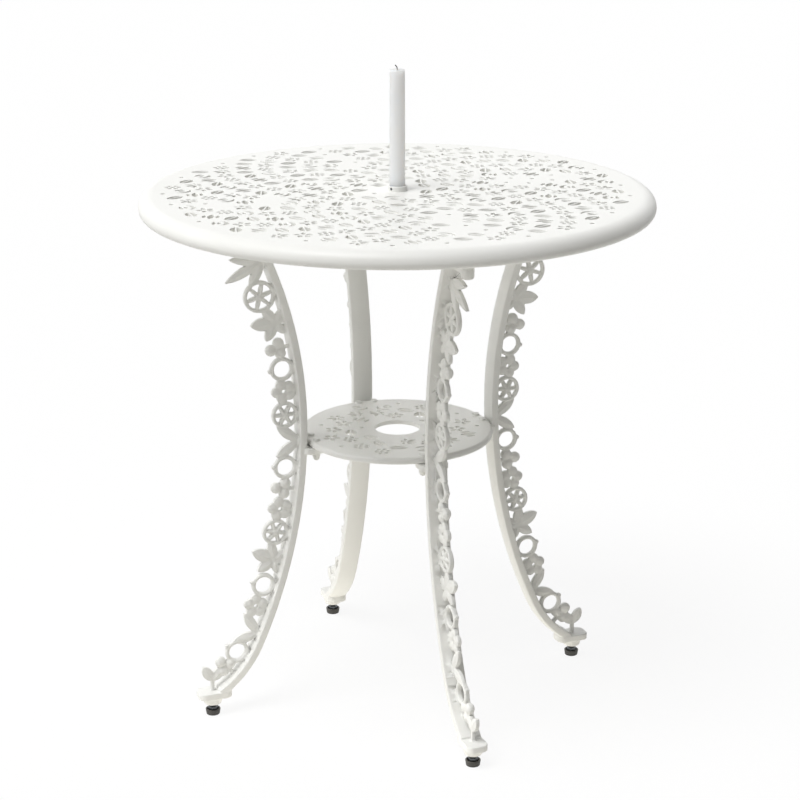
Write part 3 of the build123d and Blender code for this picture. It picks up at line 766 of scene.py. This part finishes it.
for node in ("shelf_screws", "shelf_washers", "shelf_cap_nuts"):
    painted = softened(node, "painted_" + node, shelf_screw_edge)
    fit_piece(painted, white_paint, "frame", "painted_hardware", node)

# Candle cup: a turned collar and neck, coated like the castings, let into the hub of the top. A plated ring
# nut holds it from below, and a small plated grub screw in the collar clamps the candle.
collar_edge = 0.3 * mm
ring_nut_edge = 0.6 * mm
grub_screw_edge = 0.2 * mm
collar = softened("candle_cup", "cup_collar", collar_edge)
fit_piece(collar, powder_coat, "frame", "powder_coat", "candle_cup")
ring_nut = softened("candle_ring_nut", "ring_nut", ring_nut_edge)
fit_piece(ring_nut, zinc_plate, "frame", "zinc_steel", "candle_ring_nut")
grub_screw = softened("candle_clamp_screw", "grub_screw", grub_screw_edge)
fit_piece(grub_screw, zinc_plate, "frame", "zinc_steel", "candle_clamp_screw")

# Candle: a dinner candle of white paraffin wax, drawn and dipped, a little slimmer at its top. It has been
# lit, so a shallow dish has melted round the wick, and its rim is uneven and chipped on one side.
candle_foot = 724 * mm
candle_top = 919 * mm
candle_radius = 11 * mm
candle_top_radius = 10.5 * mm
collar_top = 757.5 * mm
shoulder_round = 2 * mm
dish_radius = 6.5 * mm
dish_depth = 1.2 * mm
dish_steps = 6
shoulder_steps = 8
candle_rows = 24
candle_turning_steps = 72
chip_angle = radians(182)
chip_lean = 0.5
chip_width = 3 * mm
chip_depth = 1.6 * mm
rim_unevenness = 0.7 * mm
rim_wave_spacing = 6 * mm
candle_profile = [(0, candle_top - dish_depth)]
for step in range(1, dish_steps):
    share = step / dish_steps
    candle_profile.append((dish_radius * share, candle_top - dish_depth * (1 - share * share)))
for step in range(shoulder_steps + 1):
    turn = tau / 4 * (1 - step / shoulder_steps)
    candle_profile.append((
        candle_top_radius - shoulder_round + shoulder_round * cos(turn),
        candle_top - shoulder_round + shoulder_round * sin(turn),
    ))
for step in range(1, candle_rows + 1):
    share = step / candle_rows
    candle_profile.append((
        candle_top_radius + (candle_radius - candle_top_radius) * share,
        candle_top - shoulder_round + (collar_top - candle_top + shoulder_round) * share,
    ))
candle_profile.extend([(candle_radius, candle_foot), (0, candle_foot)])
candle = turned("dinner_candle", candle_profile, candle_turning_steps)
chip = Vector((candle_top_radius * cos(chip_angle), candle_top_radius * sin(chip_angle), candle_top))
chip_way = Vector((cos(chip_angle) * chip_lean, sin(chip_angle) * chip_lean, 1))
for vertex in candle.data.vertices:
    near_top = max(0, 1 - (candle_top - vertex.co.z) / (2 * shoulder_round))
    wave = noise.noise(vertex.co / rim_wave_spacing)
    vertex.co.z -= near_top * rim_unevenness * (wave + 1) / 2
    broken = max(0, 1 - (vertex.co - chip).length / chip_width)
    vertex.co -= chip_way * broken * chip_depth
bpy.ops.object.shade_smooth_by_angle(angle=smooth_angle)

# White paraffin wax: it is translucent, so light spreads right through the slim candle and its shades are
# soft. Drawing leaves faint lines along it, about 1.5 mm apart, and handling leaves it satin.
draw_spacing = 1.5 * mm
draw_stretch = 0.03
wax_depth = 80 * mm
paraffin, shader = start_material(
    "white_paraffin_wax",
    IOR=1.44,
    Subsurface_Weight=1,
    Subsurface_Scale=wax_depth,
    Subsurface_Radius=(1, 0.9, 0.8),
)
place = add_node(paraffin, "ShaderNodeTexCoord", {}).outputs["Object"]
along = add_node(paraffin, "ShaderNodeMapping", {"Vector": place, "Scale": (1, 1, draw_stretch)})
drawn = add_node(
    paraffin,
    "ShaderNodeTexNoise",
    {"Vector": along.outputs["Vector"], "Scale": 1 / draw_spacing, "Detail": 2},
)
wax_tone = add_node(
    paraffin,
    "ShaderNodeMixRGB",
    {"Fac": drawn.outputs["Fac"], "Color1": linear("#f8f6f1"), "Color2": linear("#fcfbf8")},
)
wax_gloss = add_node(
    paraffin, "ShaderNodeMapRange", {"Value": drawn.outputs["Fac"], "To Min": 0.35, "To Max": 0.5}
)
draw_lines = add_node(
    paraffin, "ShaderNodeBump", {"Height": drawn.outputs["Fac"], "Strength": 0.25, "Distance": 0.15 * mm}
)
links = paraffin.node_tree.links
links.new(wax_tone.outputs["Color"], shader.inputs["Base Color"])
links.new(wax_gloss.outputs["Result"], shader.inputs["Roughness"])
links.new(draw_lines.outputs["Normal"], shader.inputs["Normal"])
fit_piece(candle, paraffin, "candle", "wax", "candle")

# Wick: three strands of cotton yarn in a flat plait, set in the wax when the candle was drawn. It is bent
# over and charred where it has burnt.
wick_buried = 8 * mm
wick_bend = 7.1 * mm
wick_bend_angle = radians(54.6)
wick_lean = radians(159)
strand_count = 3
strand_radius = 0.44 * mm
plait_reach = 0.34 * mm
plait_length = 2.4 * mm
wick_steps = 60
wick_length = wick_buried + wick_bend * wick_bend_angle
wick_curve = bpy.data.curves.new("plaited_wick", "CURVE")
wick_curve.dimensions = "3D"
wick_curve.bevel_depth = strand_radius
wick_curve.bevel_resolution = 2
wick_curve.use_fill_caps = True
for strand in range(strand_count):
    spline = wick_curve.splines.new("POLY")
    spline.points.add(wick_steps)
    for step in range(wick_steps + 1):
        reach = wick_length * step / wick_steps
        bent = max(0, reach - wick_buried) / wick_bend
        swing = tau * (reach / plait_length + strand / strand_count)
        across = wick_bend * (1 - cos(bent)) + plait_reach * sin(swing) * cos(bent)
        height = min(reach, wick_buried) + wick_bend * sin(bent) - plait_reach * sin(swing) * sin(bent)
        aside = plait_reach * sin(2 * swing)
        spline.points[step].co = (
            across * cos(wick_lean) - aside * sin(wick_lean),
            across * sin(wick_lean) + aside * cos(wick_lean),
            candle_top - wick_buried + height,
            1,
        )
wick = start_piece("plaited_wick", wick_curve)
bpy.ops.object.convert(target="MESH")
close_mesh()
bpy.ops.object.shade_smooth()

# Charred cotton: black and matt at the end, brown below, and still pale where wax soaks it. The twist of the
# yarn is about 0.5 mm apart.
yarn_spacing = 0.5 * mm
cotton, shader = start_material("charred_cotton", Roughness=0.9, IOR=1.5)
place = add_node(cotton, "ShaderNodeTexCoord", {}).outputs["Object"]
height = add_node(cotton, "ShaderNodeSeparateXYZ", {"Vector": place})
pale_below = candle_top - 2 * dish_depth
charred_above = candle_top + dish_depth
burnt = add_node(
    cotton,
    "ShaderNodeMapRange",
    {"Value": height.outputs["Z"], "From Min": pale_below, "From Max": charred_above},
)
yarn = add_node(cotton, "ShaderNodeTexNoise", {"Vector": place, "Scale": 1 / yarn_spacing, "Detail": 2})
char_tone = add_node(
    cotton,
    "ShaderNodeMixRGB",
    {"Fac": yarn.outputs["Fac"], "Color1": linear("#1c1a18"), "Color2": linear("#4a4540")},
)
wick_tone = add_node(
    cotton,
    "ShaderNodeMixRGB",
    {"Fac": burnt.outputs["Result"], "Color1": linear("#d8d2c2"), "Color2": char_tone.outputs["Color"]},
)
twist = add_node(
    cotton, "ShaderNodeBump", {"Height": yarn.outputs["Fac"], "Strength": 0.5, "Distance": 0.1 * mm}
)
links = cotton.node_tree.links
links.new(wick_tone.outputs["Color"], shader.inputs["Base Color"])
links.new(twist.outputs["Normal"], shader.inputs["Normal"])
fit_piece(wick, cotton, "candle", "cotton", "candle_wick")

# Levelling feet: a rolled steel stud screws into the boss of each leg. Its lower end is moulded into a black
# plastic glide, with a jam nut in the glide's recess, so turning the glide sets the height.
stud_bottom = 3.3 * mm
stud_top = 32 * mm
stud_radius = 4 * mm
stud_core_radius = 3.3 * mm
stud_pitch = 1.25 * mm
stud_tip = stud_pitch / 2
thread_turns = 21
thread_steps = 24
foot_nut_edge = 0.6 * mm
glide_height = 8.5 * mm
glide_base_radius = 9.75 * mm
glide_top_radius = 10.75 * mm
glide_edge_round = 1 * mm
glide_edge_steps = 6
glide_recess_radius = 8.25 * mm
glide_recess_depth = 3 * mm
glide_floor = 3 * mm
stud_hole_radius = 4.05 * mm
moulded_edge = 0.5 * mm
thread_mesh = bpy.data.meshes.new("foot_stud")
thread_rows = [(stud_core_radius, 0), (stud_radius, 0.42), (stud_radius, 0.58), (stud_core_radius, 1)]
thread_mesh.from_pydata(
    [(radius, 0, stud_bottom + stud_tip + share * stud_pitch) for radius, share in thread_rows],
    [(0, 1), (1, 2), (2, 3)],
    [],
)
stud = start_piece("foot_stud", thread_mesh)
winding = stud.modifiers.new("winding", "SCREW")
winding.screw_offset = stud_pitch
winding.iterations = thread_turns
winding.steps = thread_steps
winding.render_steps = thread_steps
winding.use_merge_vertices = True
bpy.ops.object.modifier_apply(modifier="winding")
close_mesh()
core_profile = [
    (0, stud_bottom),
    (stud_core_radius - stud_tip, stud_bottom),
    (stud_core_radius, stud_bottom + stud_tip),
    (stud_core_radius, stud_top - stud_tip),
    (stud_core_radius - stud_tip, stud_top),
    (0, stud_top),
]
join(stud, [turned("core", core_profile, thread_steps)])
bpy.ops.object.shade_smooth_by_angle(angle=smooth_angle)
stud.data.transform(Matrix.Translation((foot_circle, 0, 0)))
glide_profile = [(0, 0)]
for step in range(glide_edge_steps + 1):
    turn = tau / 4 * (step / glide_edge_steps - 1)
    glide_profile.append((
        glide_base_radius - glide_edge_round + glide_edge_round * cos(turn),
        glide_edge_round + glide_edge_round * sin(turn),
    ))
for step in range(glide_edge_steps + 1):
    turn = tau / 4 * step / glide_edge_steps
    glide_profile.append((
        glide_top_radius - glide_edge_round + glide_edge_round * cos(turn),
        glide_height - glide_edge_round + glide_edge_round * sin(turn),
    ))
glide_profile.extend([
    (glide_recess_radius + moulded_edge, glide_height),
    (glide_recess_radius, glide_height - moulded_edge),
    (glide_recess_radius, glide_height - glide_recess_depth + moulded_edge),
    (glide_recess_radius - moulded_edge, glide_height - glide_recess_depth),
    (stud_hole_radius, glide_height - glide_recess_depth),
    (stud_hole_radius, glide_floor),
    (0, glide_floor),
])
glide = turned("foot_glide", glide_profile, turning_steps)
bpy.ops.object.shade_smooth_by_angle(angle=smooth_angle)
glide.data.transform(Matrix.Translation((foot_circle, 0, 0)))
foot_nut = softened("foot_nut_right", "foot_nut", foot_nut_edge)

# Black nylon, moulded in a spark-eroded tool: matt, with a fine pebble grain. The grain is about 0.3 mm on
# the real glide and is drawn at 0.8 mm to show.
pebble_spacing = 0.8 * mm
scuff_spacing = 7 * mm
black_nylon, shader = start_material("black_moulded_nylon", IOR=1.53)
place = add_node(black_nylon, "ShaderNodeTexCoord", {}).outputs["Object"]
scuff = add_node(
    black_nylon, "ShaderNodeTexNoise", {"Vector": place, "Scale": 1 / scuff_spacing, "Detail": 4}
)
nylon_tone = add_node(
    black_nylon,
    "ShaderNodeMixRGB",
    {"Fac": scuff.outputs["Fac"], "Color1": linear("#32312e"), "Color2": linear("#4a4843")},
)
nylon_gloss = add_node(
    black_nylon, "ShaderNodeMapRange", {"Value": scuff.outputs["Fac"], "To Min": 0.42, "To Max": 0.62}
)
pebble = add_node(black_nylon, "ShaderNodeTexVoronoi", {"Vector": place, "Scale": 1 / pebble_spacing})
pebbled = add_node(
    black_nylon,
    "ShaderNodeBump",
    {"Height": pebble.outputs["Distance"], "Strength": 0.35, "Distance": 0.1 * mm},
)
links = black_nylon.node_tree.links
links.new(nylon_tone.outputs["Color"], shader.inputs["Base Color"])
links.new(nylon_gloss.outputs["Result"], shader.inputs["Roughness"])
links.new(pebbled.outputs["Normal"], shader.inputs["Normal"])
foot_pieces = [
    (stud, zinc_plate, "stud_", "zinc_steel", "foot_stud_"),
    (foot_nut, zinc_plate, "glide_", "zinc_steel", "foot_nut_"),
    (glide, black_nylon, "glide_", "black_plastic", "foot_glide_"),
]
for first, material, body, slot, node in foot_pieces:
    for index, side in enumerate(leg_sides):
        piece = first if index == 0 else start_piece(first.name, first.data.copy())
        if index:
            piece.data.transform(Matrix.Rotation(tau * index / leg_count, 4, "Z"))
        piece.name = "levelling_" + node + side
        fit_piece(piece, material, body + side, slot, node + side)

# Stage: a white paper sweep, lit by softboxes from the front left, the left and behind, by a low reflector on
# the paper, and by a weak even fill. The sweep and the surroundings look white to the camera and in
# reflections, and the sweep still takes the soft shadow.
floor_size = 60
sweep_glow = 0.88
bpy.ops.object.select_all(action="DESELECT")
bpy.ops.mesh.primitive_plane_add(size=floor_size)
floor = bpy.context.object
floor.name = "paper_sweep"
paper, shader = start_material("white_paper_sweep", Roughness=0.9, Specular_IOR_Level=0)
paper_tone = add_node(
    paper,
    "ShaderNodeTexNoise",
    {"Vector": add_node(paper, "ShaderNodeTexCoord", {}).outputs["Object"], "Scale": 1 / tone_spacing},
)
sweep_colour = add_node(
    paper,
    "ShaderNodeMixRGB",
    {"Fac": paper_tone.outputs["Fac"], "Color1": linear("#d0cec9"), "Color2": linear("#d4d2cd")},
)
paper.node_tree.links.new(sweep_colour.outputs["Color"], shader.inputs["Base Color"])


def seen_mask(owner):
    """Socket that is 1 for what the camera sees, straight or in a reflection, and 0 for the light cast."""
    ray = add_node(owner, "ShaderNodeLightPath", {}).outputs
    mirrored = add_node(
        owner,
        "ShaderNodeMath",
        {0: ray["Is Glossy Ray"], 1: ray["Is Transmission Ray"]},
        operation="MAXIMUM",
    )
    seen = add_node(
        owner,
        "ShaderNodeMath",
        {0: ray["Is Camera Ray"], 1: mirrored.outputs["Value"]},
        operation="MAXIMUM",
    )
    return seen.outputs["Value"]


full_white = (1, 1, 1, 1)
glow = add_node(paper, "ShaderNodeEmission", {"Color": full_white, "Strength": 1})
shadowed = add_node(paper, "ShaderNodeBsdfDiffuse", {"Color": full_white})
white_sweep = add_node(
    paper, "ShaderNodeMixShader", {0: sweep_glow, 1: shadowed.outputs[0], 2: glow.outputs[0]}
)
sweep = add_node(
    paper,
    "ShaderNodeMixShader",
    {0: seen_mask(paper), 1: shader.outputs["BSDF"], 2: white_sweep.outputs[0]},
)
paper.node_tree.links.new(sweep.outputs[0], paper.node_tree.nodes["Material Output"].inputs["Surface"])
floor.data.materials.append(paper)

fill_level = 0.08
world = bpy.data.worlds.new("studio")
bpy.context.scene.world = world
world.use_nodes = True
fill = world.node_tree.nodes["Background"]
fill.inputs["Color"].default_value = full_white
fill.inputs["Strength"].default_value = fill_level
white = add_node(world, "ShaderNodeBackground", {"Color": full_white, "Strength": 1})
surround = add_node(
    world,
    "ShaderNodeMixShader",
    {0: seen_mask(world), 1: fill.outputs["Background"], 2: white.outputs["Background"]},
)
world.node_tree.links.new(surround.outputs[0], world.node_tree.nodes["World Output"].inputs["Surface"])

# Each softbox has a name, level, spread, heading and height.
softboxes = [
    ("key", 1.9, radians(30), radians(204), radians(65)),
    ("side", 1.54, radians(80), radians(169), radians(20)),
    ("back", 0.7, radians(80), radians(69), radians(50)),
]
for name, level, spread, heading, height in softboxes:
    softbox_data = bpy.data.lights.new(name, "SUN")
    softbox_data.energy = level
    softbox_data.angle = spread
    softbox = bpy.data.objects.new(name, softbox_data)
    softbox.rotation_euler = (tau / 4 - height, 0, tau / 4 + heading)
    bpy.context.collection.objects.link(softbox)
reflector_height = 2 * mm
reflector_data = bpy.data.lights.new("reflector", "AREA")
reflector_data.shape = "DISK"
reflector_data.size = 0.7
reflector_data.energy = 0.85
reflector_data.color = (1, 0.96, 0.86)
reflector = bpy.data.objects.new("reflector", reflector_data)
reflector.location.z = reflector_height
reflector.rotation_euler = (tau / 2, 0, 0)
reflector.visible_camera = False
reflector.visible_glossy = False
bpy.context.collection.objects.link(reflector)

camera_data = bpy.data.cameras.new("camera")
camera = bpy.data.objects.new("camera", camera_data)
bpy.context.collection.objects.link(camera)
bpy.context.scene.camera = camera
camera_distance = 3.0306
camera_height = 1.4059
heading_to_axis = radians(21.26)
camera_heading = radians(21.33)
camera_pitch = radians(17.62)
camera_data.lens = 99.67
camera_data.sensor_width = 36
camera.location = (
    -camera_distance * sin(heading_to_axis),
    -camera_distance * cos(heading_to_axis),
    camera_height,
)
camera.rotation_euler = (tau / 4 - camera_pitch, 0, -camera_heading)
bpy.context.scene.view_settings.view_transform = "Standard"
